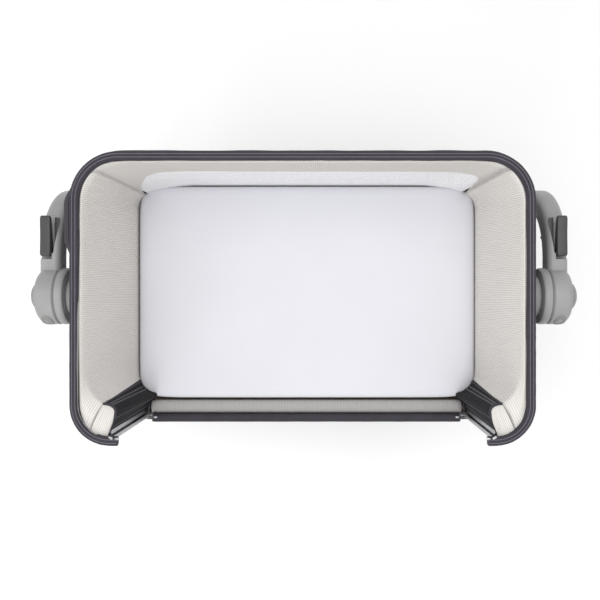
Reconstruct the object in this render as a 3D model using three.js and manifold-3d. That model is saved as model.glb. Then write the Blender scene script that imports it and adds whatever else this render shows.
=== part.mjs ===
// Bedside crib with a drop-down front: a padded basket on a tube frame, hung in two hubs between cantilevered
// telescopic legs. Millimetres, +Z up, origin on the floor at the centre of the footprint, front towards -Y.
import * as THREE from "three";
import { mergeVertices } from "three/addons/utils/BufferGeometryUtils.js";
import Module from "manifold-3d";

const wasm = await Module();
wasm.setup();

// ---- Driving dimensions ------------------------------------------------------------------------------------

const FIT_GAP = 0.3; // between pieces that touch and stay together
const RUN_GAP = 0.5; // between pieces that move on each other

const frame = {
  halfLength: 440.5, // to the centreline of the frame tube
  halfDepth: 275,
  rearBend: 85,
  frontBend: 69.5,
  tube: 7, // tube radius
  bendSteps: 6,
};
const bandWall = 2.2;
const band = { half: frame.tube + FIT_GAP + bandWall, wall: bandWall }; // fabric channel over the top tube
const cover = { thickness: 3, frontLip: 56 }; // outer fabric wall, and its height left standing across the front
const height = { rimTop: 760, wallDepth: 270, mattress: 60, floorFabric: 3 };
const mattressGap = { side: 46.5, front: 42, rear: 13 }; // from the frame's centreline
const mattress = {
  halfLength: frame.halfLength - mattressGap.side,
  front: mattressGap.front - frame.halfDepth,
  rear: frame.halfDepth - mattressGap.rear,
  corner: 66,
};
const sidePadInset = { foot: 43.5, head: 19.5 };
const sidePad = {
  foot: frame.halfLength - sidePadInset.foot,
  head: frame.halfLength - sidePadInset.head,
  lap: 1.5,
  rearArc: 43,
  roll: 33,
};
const backPadInset = 91.5;
const backPad = { halfLength: frame.halfLength - backPadInset, inset: 10, thickness: 14 };
const windowInset = 102.5;
const window_ = { halfLength: frame.halfLength - windowInset, bottom: 497, top: 650, corner: 70, mesh: 2.5 };
const guide = { width: 14, depth: 22, wall: 2, slot: 6.4, inset: 8 };
const frontRail = { travel: 262, bracket: 3, runner: 20 };
const hub = { y: 5, drop: 100, axle: 8, disc: 44, discWidth: 25, ring: 58, ringWidth: 17 };
const arm = { width: 42, height: 50, bend: 132, bendSteps: 8, rear: 217, socket: 160 };
const button = { radius: 29.4, depth: 18, standOut: 20, travel: 6, skirt: 9 };
const lever = { front: 86, length: 82, width: 22, height: 21, tip: 10, pivot: 6, pin: 2.5, proud: 7, side: -5.4 };
const column = { radius: 15.5, wall: 2.5, bottom: 150, inArm: 44 };
const sleeve = { wall: 3.8, bottom: 44, top: 330 };
const collar = { wall: 3.6, skirt: 14, cap: 16 };
const latch = { height: 166, size: 30, pin: 4, pitch: 16, below: 6, above: 4 };
const foot = { width: 40, front: -286, rear: 284, bottom: 12, top: 42, boss: 27, bossTop: 100, nose: 14 };
const wheel = { radius: 24, width: 16, y: 262, axle: 3.5, forkGap: 1, tread: 3 };
const frontFoot = { length: 60, inset: 2 };
const crossbar = { radius: 11, z: 72 };

// ---- Places worked out from them ---------------------------------------------------------------------------

const rimZ = height.rimTop - band.half;
const baseZ = height.rimTop - height.wallDepth - height.mattress;
const mattressTop = height.rimTop - height.wallDepth;
const bandBottom = height.rimTop - 2 * band.half;
const wallBottom = baseZ - frame.tube;
const frontX = frame.halfLength - frame.frontBend; // where the front corners of the frame end
const coverOuter = frame.halfLength + band.half + cover.thickness;
const postBottom = baseZ + frame.tube + FIT_GAP;
const postTop = rimZ - frame.tube - FIT_GAP;
const rimEnd = frontX - 12; // where the top tube stops, either side of the opening
const frontEnd = rimEnd - 7; // half length of the drop-down rail
const padBottom = baseZ + frame.tube + FIT_GAP;
const padTop = bandBottom - FIT_GAP;
const guideTop = bandBottom - FIT_GAP;
const hubZ = height.rimTop - hub.drop;
const discStart = coverOuter + FIT_GAP;
const ringStart = discStart + hub.discWidth + RUN_GAP;
const armStart = ringStart + hub.ringWidth + FIT_GAP;
const armX = armStart + arm.width / 2;
const armEnd = armStart + arm.width;
const armBottom = hubZ - arm.socket;
const buttonFloor = armEnd - button.depth;
const sleeveBore = column.radius + RUN_GAP + 0.2;
const sleeveRadius = sleeveBore + sleeve.wall;
const guideX = frontX + 1;
const guideY = guide.inset - frame.halfDepth;
const frontZ = rimZ - frontRail.travel;

// ---- Materials ---------------------------------------------------------------------------------------------

const finish = (colour, roughness, metalness = 0) =>
  new THREE.MeshStandardMaterial({ color: colour, roughness, metalness });
const material = {
  charcoal: finish(0x55525a, 0.9),
  cream: finish(0xc9c8c4, 0.95),
  sheet: finish(0xe6e5ea, 0.9),
  mesh: finish(0xebeaef, 0.9),
  grey: finish(0x999999, 0.45),
  darkGrey: finish(0x494849, 0.5),
  steel: finish(0x8d8f92, 0.35, 1),
  aluminium: finish(0xa9abae, 0.35, 1),
  board: finish(0x8a7a66, 0.85),
  rubber: finish(0x2c2c2e, 0.8),
};

// ---- Shape helpers -----------------------------------------------------------------------------------------

// A closed geometry as a manifold-3d solid, and back.
function solid(geometry) {
  const bare = geometry.index ? geometry.toNonIndexed() : geometry.clone();
  bare.deleteAttribute("normal");
  bare.deleteAttribute("uv");
  const merged = mergeVertices(bare, 1e-4);
  return new wasm.Manifold(
    new wasm.Mesh({
      numProp: 3,
      vertProperties: merged.attributes.position.array,
      triVerts: new Uint32Array(merged.index.array),
    }),
  );
}

function geometryOf(body) {
  const mesh = body.getMesh();
  const geometry = new THREE.BufferGeometry();
  geometry.setAttribute("position", new THREE.BufferAttribute(mesh.vertProperties, 3));
  geometry.setIndex(new THREE.BufferAttribute(mesh.triVerts, 1));
  geometry.computeVertexNormals();
  return geometry;
}

const join = (first, ...others) => geometryOf(others.reduce((body, g) => body.add(solid(g)), solid(first)));
const cut = (first, ...tools) => geometryOf(tools.reduce((body, g) => body.subtract(solid(g)), solid(first)));

// A straight and bent run for ExtrudeGeometry: one step along each straight, even steps round each bend.
class BentRun extends THREE.Curve {
  constructor(corners, bends, steps) {
    super();
    this.stations = [];
    corners.forEach((corner, i) => {
      const before = corners[i - 1];
      const after = corners[i + 1];
      if (!before || !after) {
        const along = after ? after.clone().sub(corner) : corner.clone().sub(before);
        this.stations.push({ point: corner, tangent: along.normalize() });
        return;
      }
      const inward = corner.clone().sub(before).normalize();
      const outward = after.clone().sub(corner).normalize();
      const turn = inward.angleTo(outward);
      const side = outward.clone().addScaledVector(inward, -outward.dot(inward)).normalize();
      const start = corner.clone().addScaledVector(inward, -bends[i - 1] * Math.tan(turn / 2));
      const centre = start.clone().addScaledVector(side, bends[i - 1]);
      for (let k = 0; k <= steps; k++) {
        const a = (turn * k) / steps;
        this.stations.push({
          point: centre
            .clone()
            .addScaledVector(side, -bends[i - 1] * Math.cos(a))
            .addScaledVector(inward, bends[i - 1] * Math.sin(a)),
          tangent: inward.clone().multiplyScalar(Math.cos(a)).addScaledVector(side, Math.sin(a)),
        });
      }
    });
  }
  at(u) {
    return this.stations[Math.round(u * (this.stations.length - 1))];
  }
  getPointAt(u, target = new THREE.Vector3()) {
    return target.copy(this.at(u).point);
  }
  getTangentAt(u, target = new THREE.Vector3()) {
    return target.copy(this.at(u).tangent);
  }
}

const vec = (x, y, z) => new THREE.Vector3(x, y, z);

function sweep(run, section, curveSegments) {
  const steps = run.stations.length - 1;
  return new THREE.ExtrudeGeometry(section, { steps, extrudePath: run, curveSegments });
}

function ellipse(halfX, halfY) {
  const shape = new THREE.Shape();
  shape.absellipse(0, 0, halfX, halfY, 0, 2 * Math.PI);
  return shape;
}

const tube = (run, radius) => sweep(run, ellipse(radius, radius), 5);

// An outline in plan, standing from z0 to z1.
function standing(shape, z0, z1, curveSegments = 4) {
  const geometry = new THREE.ExtrudeGeometry(shape, { depth: z1 - z0, bevelEnabled: false, curveSegments });
  return geometry.translate(0, 0, z0);
}

// An outline drawn in (Y, Z), running from x0 to x1.
function across(shape, x0, x1, curveSegments = 4) {
  const geometry = new THREE.ExtrudeGeometry(shape, { depth: x1 - x0, bevelEnabled: false, curveSegments });
  geometry.applyMatrix4(new THREE.Matrix4().makeBasis(vec(0, 1, 0), vec(0, 0, 1), vec(1, 0, 0)));
  return geometry.translate(x0, 0, 0);
}

// An outline drawn in (X, Z), running from y0 to y1.
function through(shape, y0, y1, curveSegments = 4) {
  const geometry = new THREE.ExtrudeGeometry(shape, { depth: y1 - y0, bevelEnabled: false, curveSegments });
  geometry.rotateX(Math.PI / 2);
  return geometry.translate(0, y1, 0);
}

function polygon(points) {
  return new THREE.Shape(points.map(([x, y]) => new THREE.Vector2(x, y)));
}

function roundedRect(x0, y0, x1, y1, r) {
  const shape = new THREE.Shape();
  shape.absarc(x1 - r, y0 + r, r, -Math.PI / 2, 0);
  shape.absarc(x1 - r, y1 - r, r, 0, Math.PI / 2);
  shape.absarc(x0 + r, y1 - r, r, Math.PI / 2, Math.PI);
  shape.absarc(x0 + r, y0 + r, r, Math.PI, 1.5 * Math.PI);
  shape.closePath();
  return shape;
}

const box = (x0, y0, z0, x1, y1, z1) =>
  new THREE.BoxGeometry(x1 - x0, y1 - y0, z1 - z0).translate((x0 + x1) / 2, (y0 + y1) / 2, (z0 + z1) / 2);

// Turned pieces: a profile of [radius, height] points, standing on +Z or lying along +X.
function turned(profile, segments = 24) {
  const points = profile.map(([r, z]) => new THREE.Vector2(r, z));
  return new THREE.LatheGeometry([...points, points[0].clone()], segments).rotateX(Math.PI / 2);
}
const turnedX = (profile, y, z, segments) =>
  turned(profile, segments).rotateY(Math.PI / 2).translate(0, y, z);
const rod = (radius, z0, z1, segments) => turned([[0, z0], [radius, z0], [radius, z1], [0, z1]], segments);
const rodX = (radius, x0, x1, y, z, segments) =>
  turnedX([[0, x0], [radius, x0], [radius, x1], [0, x1]], y, z, segments);

// The basket's plan outline, set out from the tube centreline by an offset.
function basketShape(offset) {
  const x = frame.halfLength;
  const y = frame.halfDepth;
  const rear = frame.rearBend;
  const front = frame.frontBend;
  const shape = new THREE.Shape();
  shape.absarc(x - front, front - y, front + offset, -Math.PI / 2, 0);
  shape.absarc(x - rear, y - rear, rear + offset, 0, Math.PI / 2);
  shape.absarc(rear - x, y - rear, rear + offset, Math.PI / 2, Math.PI);
  shape.absarc(front - x, front - y, front + offset, Math.PI, 1.5 * Math.PI);
  shape.closePath();
  return shape;
}

// Its arcs are cut into as many chords as the tube's bends, so that the two stay evenly apart.
const basketSlab = (offset, z0, z1) => standing(basketShape(offset), z0, z1, frame.bendSteps / 2);

const basketWall = (outer, inner, z0, z1) =>
  cut(basketSlab(outer, z0, z1), basketSlab(inner, z0 - 1, z1 + 1));

// The block that opens the front of a basket wall between the two front corners.
const frontBlock = (halfWidth, z0, z1) =>
  box(-halfWidth, -frame.halfDepth - 60, z0, halfWidth, -frame.halfDepth + 60, z1);

// ---- Basket frame ------------------------------------------------------------------------------------------

function rimTube() {
  const { halfLength: x, halfDepth: y, frontBend, rearBend } = frame;
  const corners = [[-rimEnd, -y], [-x, -y], [-x, y], [x, y], [x, -y], [rimEnd, -y]];
  const run = new BentRun(
    corners.map(([a, b]) => vec(a, b, rimZ)),
    [frontBend, rearBend, rearBend, frontBend],
    frame.bendSteps,
  );
  return tube(run, frame.tube);
}

// One tube all the way round, its ends meeting on a spigot at the front.
function baseTube() {
  const { halfLength: x, halfDepth: y, frontBend, rearBend } = frame;
  const corners = [[-FIT_GAP, -y], [-x, -y], [-x, y], [x, y], [x, -y], [FIT_GAP, -y]];
  const run = new BentRun(
    corners.map(([a, b]) => vec(a, b, baseZ)),
    [frontBend, rearBend, rearBend, frontBend],
    frame.bendSteps,
  );
  return join(tube(run, frame.tube), rodX(frame.tube - 2, -20, 20, -y, baseZ, 10));
}

function rearPost() {
  const reach = frame.rearBend * Math.SQRT1_2;
  const x = frame.halfLength - frame.rearBend + reach;
  const y = frame.halfDepth - frame.rearBend + reach;
  return rod(frame.tube - 1, postBottom, postTop, 12).translate(x, y, 0);
}

// Upright channel at each front corner, with its slot facing the middle of the opening.
function guideRail() {
  const { width, depth, wall, slot } = guide;
  const outline = polygon([
    [0, -depth / 2], [width, -depth / 2], [width, depth / 2], [0, depth / 2],
    [0, slot / 2], [wall, slot / 2], [wall, depth / 2 - 3], [width - wall, depth / 2 - 3],
    [width - wall, 3 - depth / 2], [wall, 3 - depth / 2], [wall, -slot / 2], [0, -slot / 2],
  ]);
  return standing(outline, postBottom, guideTop).translate(guideX, guideY, 0);
}

function hubBracket() {
  const inner = frame.halfLength - 1.5;
  const face = frame.halfLength + 6.5;
  const plate = across(roundedRect(hub.y - 40, postBottom, hub.y + 40, postTop, 10), inner, face);
  const boss = rodX(20, face - 1, frame.halfLength + band.half - FIT_GAP, hub.y, hubZ);
  const bore = rodX(hub.axle + 0.3, inner - 5, discStart + 5, hub.y, hubZ);
  return cut(join(plate, boss), bore);
}

const hubAxle = () => {
  const head = frame.halfLength - 2;
  return turnedX(
    [[0, head - 4], [13, head - 4], [13, head], [hub.axle, head], [hub.axle, buttonFloor - 1], [0, buttonFloor - 1]],
    hub.y,
    hubZ,
  );
};

function hubDisc() {
  const end = discStart + hub.discWidth;
  const bore = hub.axle + 0.3;
  return turnedX(
    [[bore, discStart], [hub.disc - 3, discStart], [hub.disc, discStart + 3], [hub.disc, end], [bore, end]],
    hub.y, hubZ, 28,
  );
}

function hubRing() {
  const end = ringStart + hub.ringWidth;
  const bore = hub.axle + RUN_GAP;
  return turnedX(
    [[bore, ringStart], [hub.ring - 2, ringStart], [hub.ring, ringStart + 2], [hub.ring, end], [bore, end]],
    hub.y, hubZ, 28,
  );
}

// ---- Basket fabric, boards and mattress --------------------------------------------------------------------

function rimBinding() {
  const { half, wall } = band;
  const channel = basketWall(half - wall, wall - half, bandBottom - 1, height.rimTop - wall);
  return cut(
    basketWall(half, -half, bandBottom, height.rimTop),
    channel,
    frontBlock(rimEnd - 1, bandBottom - 5, height.rimTop + 5),
  );
}

const windowHole = (shrink, y0, y1) => {
  const { halfLength: x, bottom, top, corner } = window_;
  return through(roundedRect(shrink - x, bottom + shrink, x - shrink, top - shrink, corner - shrink), y0, y1);
};

function outerCover() {
  const wall = basketWall(band.half + cover.thickness, band.half, wallBottom, bandBottom - FIT_GAP);
  const rear = frame.halfDepth;
  const hubHole = (x) => rodX(12, x - 20, x + 20, hub.y, hubZ, 16);
  return cut(
    wall,
    frontBlock(rimEnd + 2, wallBottom + cover.frontLip, height.rimTop),
    windowHole(0, rear, rear + 40),
    hubHole(coverOuter),
    hubHole(-coverOuter),
  );
}

const bottomCover = () => {
  const top = wallBottom - FIT_GAP;
  return basketSlab(band.half + cover.thickness, top - height.floorFabric, top);
};

function baseBoard() {
  const whole = basketSlab(-frame.tube - 1, wallBottom, baseZ - FIT_GAP);
  return cut(whole, box(-frame.halfLength, -frame.halfDepth, 0, FIT_GAP, frame.halfDepth, height.rimTop));
}

const mattressBody = () =>
  standing(
    roundedRect(-mattress.halfLength, mattress.front, mattress.halfLength, mattress.rear, mattress.corner),
    baseZ,
    mattressTop,
  );

// Side wall padding, its rear corner, and the column of padding that closes the front corner.
function sidePadding() {
  const { halfLength, halfDepth, rearBend, frontBend } = frame;
  const rearIn = band.half - sidePad.lap; // how far inside the tube centreline the pad stays
  const rearX = halfLength - rearBend;
  const rearY = halfDepth - rearBend;
  const frontY = frontBend - halfDepth;
  const guideSide = guideX + guide.width + 1;
  const guideRear = guideY + guide.depth / 2 + 1.5;
  const nose = sidePad.foot - sidePad.roll;
  const plan = new THREE.Shape();
  plan.moveTo(nose + 7, guideRear);
  plan.lineTo(guideSide, guideRear);
  plan.absarc(frontX, frontY, frontBend - rearIn, -1.25, 0);
  plan.absarc(rearX, rearY, rearBend - rearIn, 0, Math.PI / 2);
  plan.absarc(sidePad.foot - sidePad.rearArc, rearY + 27, sidePad.rearArc, Math.PI / 2, 0, true);
  plan.lineTo(sidePad.foot, frontY + 15);
  plan.lineTo(sidePad.foot - 10, frontY + 2);
  plan.lineTo(nose, frontY - 20.5);
  plan.lineTo(nose, guideRear + 17);
  plan.closePath();
  const slope = polygon([
    [sidePad.foot - 60, mattressTop], [sidePad.foot, mattressTop], [sidePad.head, padTop + 1],
    [sidePad.foot - 60, padTop + 1],
  ]);
  return cut(standing(plan, padBottom, padTop), through(slope, frontY + 17, rearY + 24));
}

const backFace = frame.halfDepth - backPad.inset;

function backPadding() {
  const { halfLength: x, thickness } = backPad;
  const slab = box(-x, backFace, padBottom, x, backFace + thickness, padTop);
  return cut(slab, windowHole(0, backFace - 10, backFace + 30));
}

const windowMesh = () => {
  const y = backFace + backPad.thickness / 2;
  return windowHole(FIT_GAP, y, y + window_.mesh);
};

// ---- Drop-down front ---------------------------------------------------------------------------------------

const frontRailTube = () => rodX(frame.tube, -frontEnd, frontEnd, -frame.halfDepth, frontZ, 12);

function frontBinding() {
  const y = -frame.halfDepth;
  const { half, wall } = band;
  return cut(
    box(-frontEnd, y - half, frontZ - half, frontEnd, y + half, frontZ + half),
    box(-frontEnd - 5, y - half + wall, frontZ - half - 5, frontEnd + 5, y + half - wall, frontZ + half - wall),
  );
}

// End bracket of the rail, with a T-shaped runner that travels in the slot of the guide rail.
function frontSlider() {
  const neck = guide.slot / 2 - 0.6;
  const head = guide.depth / 2 - 3.5;
  const inside = guide.wall + RUN_GAP;
  const face = frontEnd + FIT_GAP;
  const start = face - guideX;
  const outline = polygon([
    [start, -neck], [inside, -neck], [inside, -head], [guide.width - inside, -head],
    [guide.width - inside, head], [inside, head], [inside, neck], [start, neck],
  ]);
  const runnerTop = frontZ - band.half - 1.5;
  const bottom = runnerTop - frontRail.runner;
  const runner = standing(outline, bottom, runnerTop).translate(guideX, guideY, 0);
  const plate = box(
    face, -frame.halfDepth - 8, bottom, face + frontRail.bracket, guideY + neck, frontZ + frame.tube - 1,
  );
  return join(runner, plate);
}

const frontLining = () => {
  const front = -frame.halfDepth + band.half + 2;
  const half = sidePad.foot - sidePad.roll - 2;
  return box(-half, front, padBottom, half, mattress.front - 3, frontZ - 2);
};

const frontSkirt = () => {
  const y = -frame.halfDepth;
  const top = frontZ - band.half - FIT_GAP;
  return box(1 - frontEnd, y - frame.tube, padBottom, frontEnd - 1, y + frame.tube, top);
};

// ---- Legs --------------------------------------------------------------------------------------------------

function armHousing() {
  const run = new BentRun(
    [vec(armX, hub.y, hubZ), vec(armX, arm.rear, hubZ), vec(armX, arm.rear, armBottom)],
    [arm.bend],
    arm.bendSteps,
  );
  const limb = sweep(run, ellipse(arm.height / 2, arm.width / 2), 7);
  const drum = turnedX(
    [[0, armStart], [hub.ring, armStart], [hub.ring, armEnd - 14], [hub.ring - 4, armEnd - 5],
      [hub.ring - 12, armEnd], [0, armEnd]],
    hub.y, hubZ, 28,
  );
  const notch = box(
    armX + lever.side - 0.6, lever.front - 4, hubZ + arm.height / 2 + lever.proud - lever.height - 1,
    armEnd + 10, lever.front + lever.length + 8, hubZ + 80,
  );
  return cut(
    join(limb, drum),
    rodX(hub.axle + RUN_GAP, armStart - 5, armEnd, hub.y, hubZ),
    rodX(button.radius + RUN_GAP, buttonFloor, armEnd + 5, hub.y, hubZ, 24),
    rod(column.radius + 0.3, armBottom - 5, armBottom + column.inArm, 20).translate(armX, arm.rear, 0),
    notch,
    rodX(lever.pin + 0.3, armX - 12, armEnd + 5, lever.front + lever.pivot, leverZ, 12),
  );
}

const leverTop = hubZ + arm.height / 2 + lever.proud;
const leverZ = leverTop - lever.height + 7;

// Paddle whose tip stands off the falling curve of the arm; it tips down on its pin.
function releaseLever() {
  const { front: y0, length, height: h, tip, width } = lever;
  const y1 = y0 + length;
  const side = new THREE.Shape();
  side.moveTo(y0 + 3, leverTop - h);
  side.lineTo(y0 + 14, leverTop - h);
  side.lineTo(y1 - 4, leverTop - tip);
  side.absarc(y1 - 5, leverTop - tip / 2, tip / 2, -Math.PI / 2, Math.PI / 2);
  side.lineTo(y0 + 6, leverTop);
  side.absarc(y0 + 6, leverTop - 6, 6, Math.PI / 2, Math.PI);
  side.closePath();
  const body = across(side, armX + lever.side, armX + lever.side + width);
  return cut(body, rodX(lever.pin + 0.3, armX + lever.side - 5, armEnd + 8, y0 + lever.pivot, leverZ, 12));
}

const leverPin = () => rodX(lever.pin, armX - 11.5, armEnd - 1.5, lever.front + lever.pivot, leverZ, 10);

function lockButton() {
  const back = buttonFloor + button.skirt;
  const face = armEnd + button.standOut;
  const r = button.radius;
  return turnedX(
    [[0, back], [r, back], [r, armEnd + 5], [r * 0.93, armEnd + 11], [r * 0.72, face - 4], [r * 0.4, face - 1],
      [0, face]],
    hub.y, hubZ, 24,
  );
}

const springWasher = () =>
  turnedX(
    [[14, buttonFloor + FIT_GAP], [20, buttonFloor + FIT_GAP], [20, buttonFloor + 2.5], [14, buttonFloor + 2.5]],
    hub.y, hubZ, 20,
  );

const legColumn = () => {
  const inner = column.radius - column.wall;
  const top = armBottom + column.inArm - FIT_GAP;
  const wall = turned(
    [[inner, column.bottom], [column.radius, column.bottom], [column.radius, top], [inner, top]],
    20,
  );
  const hole = rodX(latch.pin + 0.4, -30, 0, 0, latch.height, 10);
  return cut(wall, hole).translate(armX, arm.rear, 0);
};

const lockLatch = () => {
  const half = latch.size / 2;
  const inner = column.radius - column.wall - 0.4;
  const block = rod(inner, latch.height - half, latch.height + half, 16);
  const pin = rodX(latch.pin, -column.radius + 0.6, 0, 0, latch.height, 10);
  return join(block, pin).translate(armX, arm.rear, 0);
};

const releaseRod = () =>
  rod(2.5, latch.height + latch.size / 2 + FIT_GAP, armBottom + column.inArm - 6, 8).translate(armX, arm.rear, 0);

function legSleeve() {
  const wall = turned(
    [[sleeveBore, sleeve.bottom], [sleeveRadius, sleeve.bottom], [sleeveRadius, sleeve.top],
      [sleeveBore, sleeve.top]],
    20,
  );
  const holes = [];
  for (let step = -latch.below; step <= latch.above; step++) {
    const z = latch.height + step * latch.pitch;
    if (z > foot.bossTop + latch.pin + 2) {
      holes.push(rodX(latch.pin + 0.5, -40, 0, 0, z, 6));
    }
  }
  return cut(wall, ...holes).translate(armX, arm.rear, 0);
}

const sleeveCollar = () => {
  const bore = column.radius + RUN_GAP;
  const recess = sleeveRadius + 0.3;
  const outer = recess + collar.wall;
  const seat = sleeve.top + FIT_GAP;
  return turned(
    [[bore, seat], [recess, seat], [recess, seat - collar.skirt], [outer, seat - collar.skirt],
      [outer, seat + collar.cap - 4], [outer - 3, seat + collar.cap], [bore, seat + collar.cap]],
    24,
  ).translate(armX, arm.rear, 0);
};

// ---- Base --------------------------------------------------------------------------------------------------

function footBeam() {
  const { front, rear, bottom, top, nose, boss, bossTop, width } = foot;
  const side = new THREE.Shape();
  side.moveTo(front + 4, bottom);
  side.lineTo(rear - nose, bottom);
  side.absarc(rear - nose, bottom + nose, nose, -Math.PI / 2, 0);
  side.lineTo(rear, top - nose);
  side.absarc(rear - nose, top - nose, nose, 0, Math.PI / 2);
  side.lineTo(front + 2 * nose, top);
  side.absarc(front + 2 * nose, top - 2 * nose, 2 * nose, Math.PI / 2, Math.PI);
  side.closePath();
  const beam = across(side, armX - width / 2, armX + width / 2);
  const socket = turned([[0, top - 1], [boss, top - 1], [boss, bossTop - 5], [boss - 3, bossTop], [0, bossTop]]);
  const fork = wheel.width / 2 + wheel.forkGap;
  return cut(
    join(beam, socket.translate(armX, arm.rear, 0)),
    rod(sleeveRadius + 0.3, sleeve.bottom - FIT_GAP, bossTop + 5, 20).translate(armX, arm.rear, 0),
    box(armX - fork, wheel.y - wheel.radius - 3, 0, armX + fork, rear + 10, bossTop / 2 + 10),
    rodX(wheel.axle + 0.3, armX - width, armX + width, wheel.y, wheel.radius, 12),
  );
}

const footPad = () => {
  const half = foot.width / 2 - frontFoot.inset;
  const y0 = foot.front + 4;
  return standing(
    roundedRect(armX - half, y0, armX + half, y0 + frontFoot.length, 8),
    0,
    foot.bottom - FIT_GAP,
  );
};

const rearWheel = () => {
  const half = wheel.width / 2;
  const { radius: r, tread, axle } = wheel;
  return turnedX(
    [[axle + 0.3, armX - half], [r - tread, armX - half], [r, armX - half + tread], [r, armX + half - tread],
      [r - tread, armX + half], [axle + 0.3, armX + half]],
    wheel.y, wheel.radius, 24,
  );
};

const wheelAxle = () =>
  rodX(wheel.axle, armX - foot.width / 2 + 1, armX + foot.width / 2 - 1, wheel.y, wheel.radius, 12);

const crossTube = () => {
  const end = armX - foot.boss - FIT_GAP;
  return rodX(crossbar.radius, -end, end, arm.rear, crossbar.z, 16);
};

// ---- Assembly ----------------------------------------------------------------------------------------------

const crib = new THREE.Group();

function add(group, name, geometry, finishOf) {
  const mesh = new THREE.Mesh(geometry, finishOf);
  mesh.name = name;
  group.add(mesh);
}

const single = [
  ["rim_tube", rimTube, material.steel],
  ["base_tube", baseTube, material.steel],
  ["rim_binding", rimBinding, material.charcoal],
  ["outer_cover", outerCover, material.charcoal],
  ["bottom_cover", bottomCover, material.charcoal],
  ["mattress", mattressBody, material.sheet],
  ["back_padding", backPadding, material.cream],
  ["window_mesh", windowMesh, material.mesh],
  ["front_rail", frontRailTube, material.steel],
  ["front_binding", frontBinding, material.charcoal],
  ["front_lining", frontLining, material.cream],
  ["front_skirt", frontSkirt, material.charcoal],
  ["crossbar", crossTube, material.aluminium],
];

// Drawn for the right side; the left side is its mirror image.
const paired = [
  ["rear_post", rearPost, material.steel],
  ["guide_rail", guideRail, material.aluminium],
  ["hub_bracket", hubBracket, material.steel],
  ["hub_axle", hubAxle, material.steel],
  ["hub_disc", hubDisc, material.grey],
  ["hub_ring", hubRing, material.grey],
  ["base_board", baseBoard, material.board],
  ["side_padding", sidePadding, material.cream],
  ["front_slider", frontSlider, material.darkGrey],
  ["arm", armHousing, material.grey],
  ["release_lever", releaseLever, material.darkGrey],
  ["lever_pin", leverPin, material.steel],
  ["lock_button", lockButton, material.grey],
  ["spring_washer", springWasher, material.steel],
  ["column", legColumn, material.aluminium],
  ["lock_latch", lockLatch, material.darkGrey],
  ["release_rod", releaseRod, material.steel],
  ["sleeve", legSleeve, material.grey],
  ["sleeve_collar", sleeveCollar, material.darkGrey],
  ["foot", footBeam, material.grey],
  ["foot_pad", footPad, material.rubber],
  ["rear_wheel", rearWheel, material.rubber],
  ["wheel_axle", wheelAxle, material.steel],
];

for (const [name, make, finishOf] of single) {
  add(crib, name, make(), finishOf);
}
const made = paired.map(([name, make, finishOf]) => [name, make(), finishOf]);
for (const [label, mirror] of [["right", 1], ["left", -1]]) {
  const side = new THREE.Group();
  side.scale.x = mirror;
  crib.add(side);
  for (const [name, geometry, finishOf] of made) {
    add(side, `${name}_${label}`, geometry, finishOf);
  }
}

export default crib;
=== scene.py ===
"""Looks of a bedside crib with a drop-down front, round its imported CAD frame. Sizes are in millimetres."""

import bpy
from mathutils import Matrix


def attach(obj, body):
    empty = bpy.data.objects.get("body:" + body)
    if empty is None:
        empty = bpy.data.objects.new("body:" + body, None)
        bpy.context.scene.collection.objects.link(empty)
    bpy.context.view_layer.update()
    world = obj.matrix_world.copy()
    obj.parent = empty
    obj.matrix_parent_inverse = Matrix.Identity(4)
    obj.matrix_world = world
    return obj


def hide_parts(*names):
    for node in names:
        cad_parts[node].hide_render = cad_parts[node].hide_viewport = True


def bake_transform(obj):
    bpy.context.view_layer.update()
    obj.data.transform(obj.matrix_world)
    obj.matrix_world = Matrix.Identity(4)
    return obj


bl_info = {
    "name": "Bedside crib looks",
    "version": (1, 0, 0),
    "blender": (4, 5, 0),
    "location": "View3D > Sidebar > Crib",
    "description": "Builds the fabric, padding, plastic and metal of a bedside crib round its CAD frame",
    "category": "Object",
}

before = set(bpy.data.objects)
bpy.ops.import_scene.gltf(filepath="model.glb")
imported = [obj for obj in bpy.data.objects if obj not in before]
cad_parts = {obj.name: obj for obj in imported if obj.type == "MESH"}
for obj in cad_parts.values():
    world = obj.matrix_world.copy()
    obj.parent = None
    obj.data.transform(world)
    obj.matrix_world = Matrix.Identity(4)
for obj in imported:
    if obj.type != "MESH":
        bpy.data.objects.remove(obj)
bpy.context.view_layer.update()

import math

import bmesh
import bpy
import numpy as np
from mathutils import Vector, noise

MM = 0.001
SIDES = (("left", -1), ("right", 1))

# Where the frame runs, as in the CAD model
HALF_LENGTH, HALF_DEPTH = 440.5, 275.0
REAR_BEND, FRONT_BEND = 85.0, 69.5
FRONT_BEND_Y, REAR_BEND_X, REAR_BEND_Y = -205.5, 355.5, 190.0
WALL_TOP, MATTRESS_TOP, WALL_FOOT = 743.0, 490.0, 438.0
HUB_Y, HUB_Z, ARM_X = 5.0, 660.0, 517.1
LEG_Y = 217.0
FRONT_Z = 488.5


# ---- Settings ----------------------------------------------------------------------------------------------


def colour(name, value):
    return bpy.props.StringProperty(name=name, description=name + ", as sRGB hex", default=value)


def length(name, value):
    return bpy.props.FloatProperty(name=name, description=name + ", in metres", default=value, unit="LENGTH")


class CribSettings(bpy.types.PropertyGroup):
    """Sizes and colours that the crib's pieces share"""

    lining: colour("Lining", "#dcd8d3")
    cover: colour("Outer fabric", "#3f3d42")
    binding: colour("Rim binding", "#39363d")
    gusset: colour("Corner gusset", "#171619")
    netting: colour("Window netting", "#f8f8fb")
    sheet: colour("Fitted sheet", "#d3d3d9")
    shell: colour("Shell plastic", "#959595")
    dark_plastic: colour("Dark plastic", "#3f3f3f")
    rib_pitch: length("Pitch of the lining's ribs", 0.0036)
    mattress_crown: length("Rise of the mattress at its middle", 0.004)
    bulge: length("Bulge of the side fabric", 0.004)


def settings():
    return bpy.context.scene.crib


# ---- Materials ---------------------------------------------------------------------------------------------


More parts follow.
